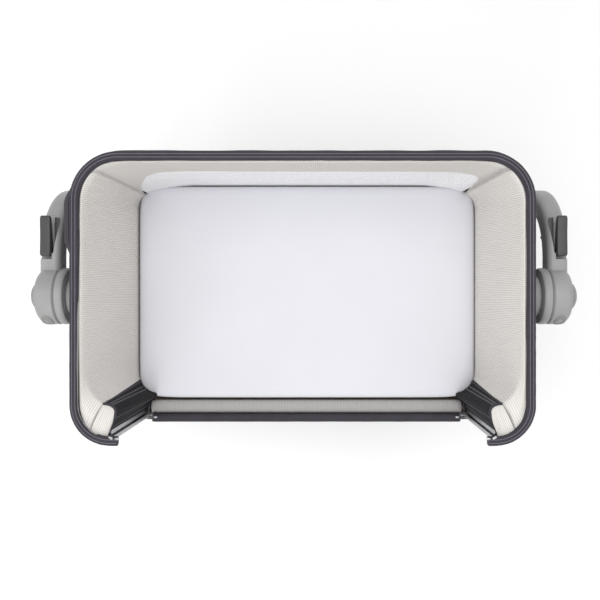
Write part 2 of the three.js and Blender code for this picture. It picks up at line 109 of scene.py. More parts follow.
def linear(text):
    """An sRGB hex colour as linear RGBA."""
    parts = [int(text[i : i + 2], 16) / 255 for i in (1, 3, 5)]
    return [c / 12.92 if c <= 0.04045 else ((c + 0.055) / 1.055) ** 2.4 for c in parts] + [1.0]


def shade(text, factor):
    """A linear colour made darker or lighter."""
    return [min(1.0, c * factor) for c in linear(text)[:3]] + [1.0]


def add(tree, kind, inputs=(), output=0, **values):
    """Adds a node with its settings and links, and returns one of its outputs."""
    made = tree.nodes.new("ShaderNode" + kind)
    for key, value in values.items():
        setattr(made, key, value)
    for key, value in dict(inputs).items():
        if isinstance(value, bpy.types.NodeSocket):
            tree.links.new(value, made.inputs[key])
        else:
            made.inputs[key].default_value = value
    return made.outputs[output]


def surface(name, roughness, metallic=0.0, ior=1.5, sheen=0.0, specular=0.5):
    """A material and its shader tree, with the values that are the same all over it."""
    made = bpy.data.materials.new(name)
    made.use_nodes = True
    inputs = made.node_tree.nodes["Principled BSDF"].inputs
    inputs["Roughness"].default_value = roughness
    inputs["Metallic"].default_value = metallic
    inputs["IOR"].default_value = ior
    inputs["Sheen Weight"].default_value = sheen
    inputs["Specular IOR Level"].default_value = specular
    return made, made.node_tree


def ribs(tree, axis, pitch):
    """Ribs across the UV map, which is in millimetres: 0 between them, 1 on them."""
    across = add(tree, "SeparateXYZ", {0: add(tree, "TexCoord", output="UV")}, axis)
    phase = add(tree, "Math", {0: across, 1: 2 * math.pi / pitch}, operation="MULTIPLY")
    wave = add(tree, "Math", {0: phase}, operation="SINE")
    return add(tree, "MapRange", {"Value": wave, "From Min": -1.0})


def grain(tree, size, detail=3.0, stretch=(1, 1, 1)):
    """Irregular grain in object space, its size in millimetres."""
    place = add(tree, "TexCoord", output="Object")
    place = add(tree, "Mapping", {"Vector": place, "Scale": stretch})
    return add(tree, "TexNoise", {"Vector": place, "Scale": 1 / (size * MM), "Detail": detail})


def dress(tree, factor, dark, light, height, depth, strength=1.0):
    """Colours the shader between two tints and embosses it to a depth in millimetres."""
    shader = tree.nodes["Principled BSDF"]
    tint = add(tree, "Mix", {0: factor, 6: dark, 7: light}, 2, data_type="RGBA")
    relief = add(tree, "Bump", {"Height": height, "Distance": depth * MM, "Strength": strength})
    tree.links.new(tint, shader.inputs["Base Color"])
    tree.links.new(relief, shader.inputs["Normal"])


def lining_material(name="ribbed knit lining", tint=None):
    """Ribbed polyester knit over thin wadding: soft ribs down the wall crossed by fine rows of stitches, with
    painted shade darkening the grooves between the ribs.
    """
    tint, pitch = tint or settings().lining, settings().rib_pitch / MM
    made, tree = surface(name, 0.95, sheen=0.15)
    cords, rows = ribs(tree, 0, pitch), ribs(tree, 1, 2.4)
    yarn = grain(tree, 1.2, 2.0)
    height = add(tree, "Math", {0: rows, 1: 0.35, 2: cords}, operation="MULTIPLY_ADD")
    height = add(tree, "Math", {0: yarn, 1: 0.3, 2: height}, operation="MULTIPLY_ADD")
    flecks = add(tree, "MapRange", {"Value": grain(tree, 2.4, 4.0), "From Min": 0.55, "From Max": 0.7})
    # Darker between the ribs and lighter on them: painted shade in the grooves
    groove_shaded_ground = add(tree, "Mix", {0: cords, 6: shade(tint, 0.78), 7: shade(tint, 1.04)}, 2, data_type="RGBA")
    flecks = add(tree, "Math", {0: flecks, 1: 0.3}, operation="MULTIPLY")
    dress(tree, flecks, groove_shaded_ground, shade(tint, 0.74), height, 0.6)
    return made


def woven_material(name, tint, pitch):
    """Melange polyester: a fine cross weave of two greys, with lighter threads scattered in it."""
    made, tree = surface(name, 0.9, sheen=0.03, specular=0.15)
    weave = add(tree, "Math", {0: ribs(tree, 0, pitch), 1: ribs(tree, 1, pitch)}, operation="MULTIPLY")
    threads = grain(tree, 1.5, 4.0, (1, 1, 0.25))
    height = add(tree, "Math", {0: weave, 1: threads}, operation="ADD")
    dress(tree, threads, shade(tint, 0.5), shade(tint, 1.55), height, 0.35, 0.8)
    return made


def binding_material():
    """Grosgrain tape sewn over the rim: fine cross ribs, darker where the nap is rubbed down."""
    tint = settings().binding
    made, tree = surface("grosgrain binding", 0.8, sheen=0.05, specular=0.3)
    cord, fuzz = ribs(tree, 0, 1.6), grain(tree, 1.6)
    worn = add(tree, "Math", {0: grain(tree, 40.0), 1: fuzz}, operation="MULTIPLY")
    worn = add(tree, "MapRange", {"Value": worn, "From Min": 0.12, "From Max": 0.42})
    height = add(tree, "Math", {0: cord, 1: fuzz}, operation="ADD")
    dress(tree, worn, shade(tint, 0.8), shade(tint, 1.15), height, 0.3, 0.8)
    return made


def zip_material():
    """Nylon coil zip: dark tape with teeth 2.5 mm apart."""
    made, tree = surface("nylon coil zip", 0.5, ior=1.53)
    teeth = ribs(tree, 0, 2.5)
    dress(tree, teeth, linear("#19181b"), linear("#4f4d52"), teeth, 0.6)
    return made


def netting_material():
    """Warp-knitted polyester netting: small round holes, drawn 2.4 mm apart so that they show."""
    made, tree = surface("polyester netting", 0.8, sheen=0.2)
    place = add(tree, "TexCoord", output="UV")
    place = add(tree, "Mapping", {"Vector": place, "Scale": (1 / 2.4, 1 / 2.4, 1)})
    cell = add(tree, "TexVoronoi", {"Vector": place, "Scale": 1.0, "Randomness": 0.12})
    thread = add(tree, "MapRange", {"Value": cell, "From Min": 0.14, "From Max": 0.24})
    tree.links.new(thread, tree.nodes["Principled BSDF"].inputs["Alpha"])
    tint = settings().netting
    dress(tree, cell, shade(tint, 1.0), shade(tint, 0.92), cell, 0.4)
    return made


def sheet_material():
    """Cotton jersey fitted sheet: a knit too fine to see singly, with a soft sheen and faint cloudiness."""
    tint = settings().sheet
    made, tree = surface("cotton jersey sheet", 0.88, sheen=0.3)
    knit = add(tree, "Math", {0: ribs(tree, 0, 1.1), 1: ribs(tree, 1, 0.9)}, operation="MULTIPLY")
    height = add(tree, "Math", {0: knit, 1: grain(tree, 0.8, 2.0)}, operation="ADD")
    dress(tree, grain(tree, 160.0), shade(tint, 0.95), shade(tint, 1.02), height, 0.12, 0.6)
    return made


def moulded_material(name, tint, roughness=0.42, ior=1.46, size=1.1, depth=0.1):
    """Moulded plastic or rubber: fine spark-eroded grain, and handling marks that vary the gloss."""
    made, tree = surface(name, roughness, ior=ior)
    marks = grain(tree, 70.0, 4.0)
    gloss = add(tree, "MapRange", {"Value": marks, "To Min": roughness - 0.06, "To Max": roughness + 0.1})
    tree.links.new(gloss, tree.nodes["Principled BSDF"].inputs["Roughness"])
    dress(tree, marks, shade(tint, 0.88), shade(tint, 1.1), grain(tree, size, 2.0), depth, 0.5)
    return made


def metal_material(name, tint, roughness, size, stretch):
    """Drawn or plated metal: fine lines along the piece, which spread its highlights."""
    made, tree = surface(name, roughness, 1.0)
    lines = grain(tree, size, 3.0, stretch)
    gloss = add(tree, "MapRange", {"Value": lines, "To Min": roughness - 0.08, "To Max": roughness + 0.1})
    tree.links.new(gloss, tree.nodes["Principled BSDF"].inputs["Roughness"])
    dress(tree, lines, shade(tint, 0.82), shade(tint, 1.05), lines, 0.06, 0.5)
    return made


def painted_material():
    """Powder coat on steel tube: satin, with a fine orange peel."""
    made, tree = surface("powder-coated steel", 0.4)
    peel = grain(tree, 2.0, 1.0)
    tree.nodes["Principled BSDF"].inputs["Coat Weight"].default_value = 0.2
    dress(tree, peel, shade("#8d8d8e", 0.94), shade("#8d8d8e", 1.05), peel, 0.1, 0.6)
    return made


def board_material():
    """Fibreboard: pressed wood fibres, dull and slightly mottled."""
    made, tree = surface("fibreboard", 0.85)
    fibres = grain(tree, 3.8, 5.0, (1, 0.3, 1))
    dress(tree, fibres, linear("#6d5a45"), linear("#a08a6c"), fibres, 0.2, 0.6)
    return made


MAKERS = {
    "lining": lining_material,
    # The front panel's lining takes a darker tint than the walls' lining: painted shade, for the front that
    # lies in shade
    "front_lining": lambda: lining_material("ribbed knit front lining in painted shade", "#aaa8a6"),
    "cover": lambda: woven_material("melange cover fabric", settings().cover, 1.6),
    "gusset": lambda: woven_material("charcoal gusset fabric", settings().gusset, 1.1),
    "binding": binding_material,
    # The piping cords are coloured lighter than the tape: a painted highlight along the ridges of the binding
    "highlit_piping": lambda: woven_material("corded piping in painted highlight colour", "#6b6772", 1.2),
    "zip": zip_material,
    "netting": netting_material,
    "sheet": sheet_material,
    "shell": lambda: moulded_material("moulded grey nylon", settings().shell),
    "cap": lambda: moulded_material("moulded grey cap", "#8f8d8c", 0.36),
    "inset": lambda: moulded_material("moulded grey inset", "#858583", 0.5),
    "dark_plastic": lambda: moulded_material("moulded dark nylon", settings().dark_plastic, 0.38),
    "aluminium": lambda: metal_material("anodised aluminium", "#b4b5b8", 0.34, 2.0, (1, 1, 0.04)),
    "tube": painted_material,
    "zinc": lambda: metal_material("zinc-plated steel", "#b9babd", 0.3, 3.0, (1, 1, 1)),
    "rubber": lambda: moulded_material("moulded rubber", "#29292b", 0.78, 1.52, 1.4, 0.15),
    "board": board_material,
}
made_materials = {}


def finish_of(key):
    if key not in made_materials:
        made_materials[key] = MAKERS[key]()
    return made_materials[key]


# ---- Mesh helpers ------------------------------------------------------------------------------------------


def build(name, verts, faces):
    """A mesh object from points in millimetres."""
    mesh = bpy.data.meshes.new(name)
    mesh.from_pydata([[c * MM for c in v] for v in verts], [], faces)
    obj = bpy.data.objects.new(name, mesh)
    bpy.context.scene.collection.objects.link(obj)
    return obj


def grid(name, points, closed_u=False, closed_v=False, caps=False):
    """A surface through rows of points, points[u][v], with its UV map in millimetres."""
    p = np.asarray(points, float)
    nu, nv = p.shape[:2]
    du = np.linalg.norm(np.diff(p[:, nv // 2], axis=0), axis=1)
    dv = np.linalg.norm(np.diff(p, axis=1), axis=2).mean(0)
    u_at = np.concatenate([[0], np.cumsum(du)])
    v_at = np.concatenate([[0], np.cumsum(dv)])
    u_step, v_step = du.mean(), dv.mean()
    faces, uvs = [], []
    for i in range(nu if closed_u else nu - 1):
        for j in range(nv if closed_v else nv - 1):
            i2, j2 = (i + 1) % nu, (j + 1) % nv
            faces.append((i * nv + j, i2 * nv + j, i2 * nv + j2, i * nv + j2))
            ua, ub = u_at[i], u_at[i2] if i2 > i else u_at[i] + u_step
            va, vb = v_at[j], v_at[j2] if j2 > j else v_at[j] + v_step
            uvs += [(ua, va), (ub, va), (ub, vb), (ua, vb)]
    if caps:
        faces += [tuple(range(nv)), tuple(reversed(range((nu - 1) * nv, nu * nv)))]
        uvs += [(0, v) for v in v_at] + [(u_at[-1], v) for v in v_at[::-1]]
    obj = build(name, p.reshape(-1, 3), faces)
    layer = obj.data.uv_layers.new(name="UVMap")
    layer.data.foreach_set("uv", np.array(uvs, np.float32).ravel())
    return obj


def modify(obj, kind, **values):
    """Adds a modifier and applies it at once."""
    made = obj.modifiers.new(kind.lower(), kind)
    for key, value in values.items():
        setattr(made, key, value)
    with bpy.context.temp_override(object=obj, active_object=obj, selected_objects=[obj]):
        bpy.ops.object.modifier_apply(modifier=made.name)
    return obj


def tidy(obj, sharp=35.0):
    """Outward normals, smooth faces, and hard edges where the surface turns sharply."""
    shape = bmesh.new()
    shape.from_mesh(obj.data)
    bmesh.ops.recalc_face_normals(shape, faces=shape.faces)
    for face in shape.faces:
        face.smooth = True
    for edge in shape.edges:
        edge.smooth = not (edge.is_manifold and edge.calc_face_angle(0.0) > math.radians(sharp))
    shape.to_mesh(obj.data)
    shape.free()
    return obj


def combine(obj, tool, operation="DIFFERENCE", solver="EXACT"):
    """Joins or cuts a closed mesh with another, which is then removed."""
    modify(obj, "BOOLEAN", object=tool, operation=operation, solver=solver)
    bpy.data.objects.remove(tool)
    return obj


def piece(obj, key, body, replaces=(), sharp=35.0):
    """Gives a finished mesh its material, its place in the frame and the CAD nodes it stands for."""
    tidy(obj, sharp)
    obj.data.materials.clear()
    obj.data.materials.append(finish_of(key))
    if body:
        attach(obj, body)
    if replaces:
        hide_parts(*replaces)
    return obj


def mirrored(points, side):
    return np.asarray(points, float) * np.array([side, 1, 1])


def revolve(name, profile, y, z, side=1, segments=64):
    """A piece turned about a line along X: profile is (radius, x) from the axis round to the axis."""
    angles = np.linspace(0, 2 * math.pi, segments, endpoint=False)
    rows = [[(side * x, y + r * math.cos(a), z + r * math.sin(a)) for a in angles] for r, x in profile]
    obj = grid(name, rows, closed_v=True, closed_u=profile[0][0] > 1e-6)
    modify(obj, "WELD", merge_threshold=1e-6)
    return obj


def sweep(name, path, section, up=(0, 0, 1)):
    """A section of (side, up) points carried along a path, or one section for each point of it."""
    path = np.asarray(path, float)
    ahead = np.gradient(path, axis=0)
    ahead /= np.linalg.norm(ahead, axis=1)[:, None]
    rows = []
    for i, (point, direction) in enumerate(zip(path, ahead)):
        side = np.cross(direction, up)
        side /= np.linalg.norm(side)
        top = np.cross(side, direction)
        outline = section(i) if callable(section) else section
        rows.append([point + a * side + b * top for a, b in outline])
    return grid(name, rows, closed_v=True, caps=True)


def circle(radius, count=12, flat=1.0):
    angles = np.linspace(0, 2 * math.pi, count, endpoint=False)
    return [(radius * math.cos(a), flat * radius * math.sin(a)) for a in angles]


def prism(name, outline, x0, x1, bevel=2.0, axis=0):
    """An outline in two axes run between two places on the third, its edges rounded."""
    others = [i for i in range(3) if i != axis]
    verts = []
    for at in (x0, x1):
        for point in outline:
            full = [0.0, 0.0, 0.0]
            full[axis] = at
            full[others[0]], full[others[1]] = point
            verts.append(full)
    count = len(outline)
    faces = [tuple(range(count)), tuple(range(count, 2 * count))]
    faces += [(i, (i + 1) % count, count + (i + 1) % count, count + i) for i in range(count)]
    obj = tidy(build(name, verts, faces))
    if bevel:
        modify(obj, "BEVEL", width=bevel * MM, segments=4, limit_method="ANGLE", angle_limit=math.radians(40))
    return obj


def rounded(x0, y0, x1, y1, rx, ry=None, count=10):
    """A rectangle's outline with rounded corners."""
    ry = rx if ry is None else ry
    points = []
    left, right, low, high = x0 + rx, x1 - rx, y0 + ry, y1 - ry
    for cx, cy, start in ((right, low, -90), (right, high, 0), (left, high, 90), (left, low, 180)):
        for k in range(count + 1):
            a = math.radians(start + 90 * k / count)
            points.append((cx + rx * math.cos(a), cy + ry * math.sin(a)))
    return points


def smoothstep(t):
    t = np.clip(t, 0, 1)
    return t * t * (3 - 2 * t)


def ripple(x, y, z, size, seed=0.0):
    """Smooth noise from -1 to 1 that varies over about that many millimetres."""
    return noise.noise(Vector((x / size, y / size, z / size + seed)))


def spline(points, step=6.0):
    """A smooth curve through rows of numbers, in even steps along the first three."""
    p = np.asarray(points, float)
    p = np.vstack([2 * p[0] - p[1], p, 2 * p[-1] - p[-2]])
    rows = []
    for a, b, c, d in zip(p, p[1:], p[2:], p[3:]):
        count = max(2, int(np.linalg.norm((c - b)[:3]) / step))
        for t in np.linspace(0, 1, count, endpoint=False):
            bend, twist = 2 * a - 5 * b + 4 * c - d, 3 * b - a - 3 * c + d
            rows.append(0.5 * (2 * b + (c - a) * t + bend * t**2 + twist * t**3))
    return np.array(rows + [p[-2]])


def rim_path(offset=0.0, end=358.0, step=5.0):
    """The rim in plan, from the right front end round the back to the left one, moved outwards."""
    half = [(x, -HALF_DEPTH - offset) for x in np.arange(end, 371.0, step)]
    half += [
        (371.0 + (FRONT_BEND + offset) * math.sin(a), FRONT_BEND_Y - (FRONT_BEND + offset) * math.cos(a))
        for a in np.linspace(0, math.pi / 2, 22)
    ]
    half += [(HALF_LENGTH + offset, y) for y in np.linspace(FRONT_BEND_Y, REAR_BEND_Y, 80)[1:]]
    half += [
        (REAR_BEND_X + (REAR_BEND + offset) * math.cos(a), REAR_BEND_Y + (REAR_BEND + offset) * math.sin(a))
        for a in np.linspace(0, math.pi / 2, 26)[1:]
    ]
    half += [(x, HALF_DEPTH + offset) for x in np.linspace(REAR_BEND_X, 0, 72)[1:]]
    return np.array(half + [(-x, y) for x, y in half[-2::-1]])


# ---- Pieces ------------------------------------------------------------------------------------------------


class CRIB_OT_rim(bpy.types.Operator):
    """Rim binding: tape folded over the tube, with two rows of piping along its top"""

    bl_idname = "crib.rim"
    bl_label = "Rim binding"

    def execute(self, context):
        plan = rim_path()
        path = [(x, y, 750.5) for x, y in plan]

        def section(i):
            x, y = plan[i]
            # The inner edge wanders a little, and comes in at the rear corners
            wander = -2.6 * smoothstep((90 - y) / 160) if x < -400 else 0.0
            corner = math.exp(-(((abs(x) - 400) ** 2 + (y - 235) ** 2) / 3000))
            wander += 1.2 * ripple(x, y, 0, 70.0, 3.0) + 1.8 * corner
            ring = []
            for k in range(44):
                a = 2 * math.pi * k / 44
                c, s = math.cos(a), math.sin(a)
                width = (8.6 + wander) if c < 0 else 9.2 + 0.35 * ripple(x, y, 9, 6.0)
                across = math.copysign(abs(c) ** 0.62, c) * width
                high = math.copysign(abs(s) ** 0.62, s) * 9.2
                groove = sum(math.exp(-(((across - at) / 1.3) ** 2)) for at in (-3.2, 3.2)) if s > 0 else 0.0
                ring.append((across, high - 1.4 * groove))
            return ring

        tape = sweep("rim_tape", path, section)
        piece(tape, "binding", "basket", ["rim_binding"], 60)
        # The two cords are drawn lighter than the tape, as painted highlight
        for name, at in (("inner", -3.2), ("outer", 3.2)):
            row = [(x, y, 759.0 + 0.3 * ripple(x, y, at, 8.0)) for x, y in rim_path(at)]
            piece(sweep(f"rim_piping_{name}", row, circle(0.9, 8)), "highlit_piping", "basket")
        return {"FINISHED"}


# Right-hand wall from the front corner to the back: x and y of the rim edge, the wall's top and its foot
NOSE = [
    ((377, -265.5), (376, -257), (371, -253)),
    ((378, -265.4), (371, -245), (366, -239)),
    ((381, -265), (365.5, -232), (354, -229)),
    ((384, -264.2), (363, -219), (347, -220)),
    ((387, -263.4), (367, -210.5), (362, -214)),
    ((397, -259.3), (376, -205.5), (377, -203)),
    ((409, -251.5), (387, -204), (387, -189)),
]
WALL = [
    NOSE[-1],
    ((421, -238), (400, -196), (390, -181)),
    ((429.5, -212), (413, -181), (391.5, -168)),
    ((431, -185), (421, -160), (392, -150)),
    ((431, -140), (424, -130), (392, -125)),
    ((431, 0), (424, 0), (392, 0)),
    ((431, 170), (424, 170), (392, 185)),
    ((429.5, 205), (420, 208), (391, 216)),
    ((422, 228), (409, 230), (385, 231)),
    ((411, 243), (399, 244.5), (375.5, 240.5)),
]
# From the crease in the rear corner on to the back
REAR = [
    WALL[-1],
    ((398, 254), (385, 252.5), (353, 249)),
    ((380, 262), (362, 259.5), (323, 255.5)),
    ((355, 265.5), (338, 262.5), (296, 259.5)),
    ((325, 265.5), (310, 263.8), (272, 262.3)),
    ((290, 265.5), (280, 263.8), (262, 262.8)),
]


def wall_rows(points):
    """Even rows of rim edge, top and foot of the wall."""
    flat = [[c for pair in row for c in pair] for row in points]
    return spline([[b[2], b[3], 0, *b] for b in flat], 5.0)[:, 3:]


def window_top(x):
    """Where the back wall's lining ends above the netting, rounder at its left end than at its right."""
    if x < -234:
        return 656 - 216 * (1 - math.sqrt(max(0.0, 1 - ((-234 - x) / 146) ** 2)))
    if x > 320:
        return 650 - 210 * (1 - max(0.0, 1 - ((x - 320) / 44) ** 4) ** 0.5)
    return 656 - (x + 234) / 554 * 6


def tucked(row):
    """The lining's edge, a few millimetres further under the binding than the edge that shows."""
    rx, ry, tx, ty = row[:4]
    reach = math.hypot(rx - tx, ry - ty)
    return rx + 4.0 * (rx - tx) / reach, ry + 4.0 * (ry - ty) / reach


def wall_point(row, z):
    """A point of the wall's face at a height, padded out a little between its top and the mattress."""
    _, _, tx, ty, bx, by = row
    down = min(1.0, (WALL_TOP - z) / (WALL_TOP - MATTRESS_TOP))
    x, y = tx + (bx - tx) * down, ty + (by - ty) * down
    corner = math.exp(-(((abs(tx) - 399) ** 2 + (ty - 244.5) ** 2) / 420))
    puff = 4.5 * math.sin(math.pi * down) * (1 - corner) * smoothstep((264.5 - ty) / 20)
    puff += 1.3 * ripple(x, y, z, 55.0, 1.0) * math.sin(math.pi * down) * (0.4 if ty > 262 else 1.0)
    inward = Vector((-tx, -ty * 1.4)).normalized() if abs(tx) > 330 else Vector((0, -1))
    return x + inward.x * puff, y + inward.y * puff, z


class CRIB_OT_lining(bpy.types.Operator):
    """Lining of the sides and back: a padded, ribbed wall that rolls over the rim, and its netting"""

    bl_idname = "crib.lining"
    bl_label = "Lining"

    def execute(self, context):
        side = np.vstack([wall_rows(WALL)[:-1], wall_rows(REAR)])
        reach = REAR[-1][0][0], REAR[-1][2][0]
        across = np.linspace(1, -1, 140)[1:-1]
        back = [[x * reach[0], 265.5, x * 280, 263.8, x * reach[1], 262.8] for x in across]
        plan = np.vstack([side, back, side[::-1] * np.array([-1, 1, -1, 1, -1, 1])])
        rows, openings = [], []
        for row in plan:
            rx, ry, tx, ty, bx, by = row
            foot = max(WALL_FOOT, window_top(bx)) if by > 240.5 and -380 < bx < 364 else WALL_FOOT
            column = [(*tucked(row), 749.0)]
            for t in np.linspace(0, 1, 9):
                # From inside the binding, over the roll and on to the wall's top edge
                lift = 3.2 * math.sin(math.pi * min(1.0, t * 1.15)) - 7.0 * t**2.2
                crease = 0.0
                if math.hypot(tx - rx, ty - ry) > 12 and ty < -150:
                    angle = math.degrees(math.atan2(abs(rx) - 387, -204 - ry))
                    for at, deep in ((9, 7.0), (24, 7.5), (39, 3.5)):
                        fold = math.exp(-(((angle - at) / 4.2) ** 2))
                        crease -= deep * fold * math.sin(math.pi * min(1, 0.25 + 0.75 * t))
                x, y = rx + (tx - rx) * t, ry + (ty - ry) * t
                column.append((x, y, 750.0 + lift + crease + 0.8 * ripple(x, y, 0, 24.0, 5.0)))
            column += [wall_point(row, z) for z in np.linspace(WALL_TOP, foot, 30)[1:]]
            rows.append(column)
            if foot > 445:
                face = [wall_point(row, z) for z in np.linspace(foot + 7, WALL_FOOT, 12)]
                openings.append([(x, y + 1.6, z) for x, y, z in face])
        walls = grid("ribbed_lining", rows)
        modify(walls, "SOLIDIFY", thickness=0.0025, offset=-1.0)
        modify(walls, "SUBSURF", levels=1)
        piece(walls, "lining", "basket", ["side_padding_left", "side_padding_right", "back_padding"], 50)
        window = grid("window_netting", openings)
        piece(window, "netting", "basket", ["window_mesh"])
        # The opening's length and its greatest height above the wall's foot, then a cord of lining along the
        # netting's top edge
        heights = [window_top(x) + 7.0 - WALL_FOOT for x in np.linspace(-380, 364, 373)]
        span, deep = 744.0 * MM, max(heights) * MM
        edge = [(x, y - 1.2, z - 7) for x, y, z in (column[0] for column in openings)]
        piece(sweep("window_edge", edge, circle(1.2, 8), up=(0, 1, 0)), "lining", "basket")
        return {"FINISHED"}


class CRIB_OT_corners(bpy.types.Operator):
    """Front corners: dark gussets between lining and guide rail, with piping, two zips and their pulls"""

    bl_idname = "crib.corners"
    bl_label = "Front corner gussets"

    def execute(self, context):
        for name, side in SIDES:
            flat = spline([[*r[1], 0, *r[0], *r[1], *r[2]] for r in NOSE], 2.5)[:, 3:]
            cap, web = [], []
            for rx, ry, tx, ty, bx, by in flat:
                roll = [(*tucked((rx, ry, tx, ty)), 749.0)]
                angle = math.degrees(math.atan2(abs(rx) - 387, -204 - ry))
                folds = sum(2.4 * math.exp(-(((angle - at) / 4) ** 2)) for at in (2, 12))
                for t in np.linspace(0, 1, 9):
                    fold = folds * math.sin(math.pi * t)
                    x, y = rx + (tx - rx) * t, ry + (ty - ry) * t
                    roll.append((x, y, 750.0 + 3.5 * math.sin(math.pi * min(1, 1.1 * t)) - 6 * t**3 - fold))
                cap.append(roll)
                web.append(
                    [
                        (tx + (bx - tx) * w, ty + (by - ty) * w, 744.5 - w * 254.5)
                        for w in np.linspace(0, 1.2, 26)
                    ]
                )
            roll = grid(f"corner_roll_{name}", mirrored(cap, side))
            modify(roll, "SOLIDIFY", thickness=0.002, offset=0)
            modify(roll, "SUBSURF", levels=1)
            piece(roll, "lining", "basket")
            web = np.array(web)
            fabric = grid(f"gusset_{name}", mirrored(web, side))
            modify(fabric, "SOLIDIFY", thickness=0.002, offset=0)
            piece(fabric, "gusset", "basket")
            top = np.array([[c[2], c[3], 746.0] for c in flat])
            piece(sweep(f"roll_piping_{name}", mirrored(top, side), circle(2.6)), "binding", "basket")
            # Seams run down the gusset: its edge against the lining, two zips beside it, and one at its nose
            count = len(web)
            for label, at, width, key in (
                ("edge_piping", 0.985, 2.3, "binding"),
                ("inner_zip", 0.88, 2.2, "zip"),
                ("outer_zip", 0.78, 2.2, "zip"),
                ("nose_piping", 0.42, 1.8, "binding"),
                ("guide_piping", 0.10, 2.0, "binding"),
            ):
                column = web[int(at * (count - 1)), :-1]
                bead = sweep(f"{label}_{name}", mirrored(column, side), circle(width, 10), up=(0, 1, 0))
                piece(bead, key, "basket")
            for label, x, y, z, turn in (("slider", 369, -268, 757, 0.5), ("stop", 357, -270, 756.6, -0.2)):
                c, s = math.cos(turn), math.sin(turn)
                outline = rounded(-4.5, -2.2, 4.5, 2.2, 1.6, count=4)
                outline = [(side * (a * c - b * s + x), a * s + b * c + y) for a, b in outline]
                pull = prism(f"zip_{label}_{name}", outline, z, z + 2.6, 0.7, axis=2)
                piece(pull, "zinc", "basket")
        return {"FINISHED"}


class CRIB_OT_front(bpy.types.Operator):
    """Drop-down front: lining and skirt, and the rail's binding"""

    bl_idname = "crib.front"
    bl_label = "Drop-down front"

    def execute(self, context):
        rows = []
        for x in np.linspace(-362, 362, 150):
            end = min(1.0, (362 - abs(x)) / 9.0)
            draw = 5.0 * (1 - math.sqrt(max(0.0, 1 - (1 - end) ** 2)))
            wave = 0.9 * ripple(x, 0, 0, 30.0, 2.0) + 0.5 * ripple(x, 0, 0, 9.0, 4.0)
            column = []
            for a in np.linspace(0, math.pi, 13):
                y = -250.3 + (14.6 - draw * 0.4) * math.copysign(abs(math.cos(a)) ** 0.75, math.cos(a))
                column.append((x, y + 0.4 * wave, 478 + (10.5 - draw) * math.sin(a) ** 0.75 + wave))
            for z in (470, 460, 450, 440):
                column.append((x, -263.8 + 0.5 * math.sin(z / 7), z))
            for z in (440, 450, 460, 470):
                column.append((x, -236.8 + 0.4 * wave, z))
            rows.append(column)
        panel = grid("front_panel_lining", rows, closed_v=True, caps=True)
        modify(panel, "SUBSURF", levels=1)
        # The front lining's darker tint is painted shade
        piece(panel, "front_lining", None, ["front_lining"], 50)
        rows = []
        for x in np.linspace(-350.5, 350.5, 160):
            wave = 0.8 * ripple(x, 3, 0, 26.0, 2.0)
            front = [(x, -281.2 + wave * (1 - (z - 438) / 42), z) for z in np.linspace(438, 480, 9)]
            rows.append(front + [(x, -269.0, z) for z in np.linspace(480, 438, 9)])
        skirt = grid("front_panel_skirt", rows, closed_v=True, caps=True)
        piece(skirt, "cover", None, ["front_skirt"], 50)
        for soft in (panel, skirt):
            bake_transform(soft)
        plan = [(x, -275.0, FRONT_Z) for x in np.linspace(-351.5, 351.5, 200)]

        def section(i):
            x = plan[i][0]
            ring = []
            for k in range(40):
                a = 2 * math.pi * k / 40
                c, s = math.cos(a), math.sin(a)
                frill = 0.45 * ripple(x, 0, 5, 7.0, 1.0) if c < 0 else 0.3 * ripple(x, 0, 5, 40.0)
                across = math.copysign(abs(c) ** 0.6, c) * (9.2 + frill)
                high = math.copysign(abs(s) ** 0.6, s) * 9.1
                ridge = 0.0
                if s > 0:
                    ridge = sum(math.exp(-(((across - at) / 0.8) ** 2)) for at in (-5.2, 0.2, 5.4))
                ring.append((across, high + 0.8 * ridge - 0.5))
            return ring

        piece(sweep("front_rail_tape", plan, section), "binding", "front_rail", ["front_binding"], 60)
        for name, side in SIDES:
            bend = ((-237, 452), (-237, 476), (-241, 486), (-250, 489), (-262, 488.5))
            line = spline([(side * 364.5, y, z) for y, z in bend], 2.0)
            bead = sweep(f"front_end_piping_{name}", line, circle(2.4), up=(1, 0, 0))
            piece(bead, "binding", None)
            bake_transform(bead)
            outline = rounded(side * 347 - 4, -274.5, side * 347 + 4, -270, 1.5, count=4)
            stop = prism(f"front_zip_stop_{name}", outline, 496.8, 499.4, 0.7, axis=2)
            piece(stop, "zinc", "front_rail")
        return {"FINISHED"}


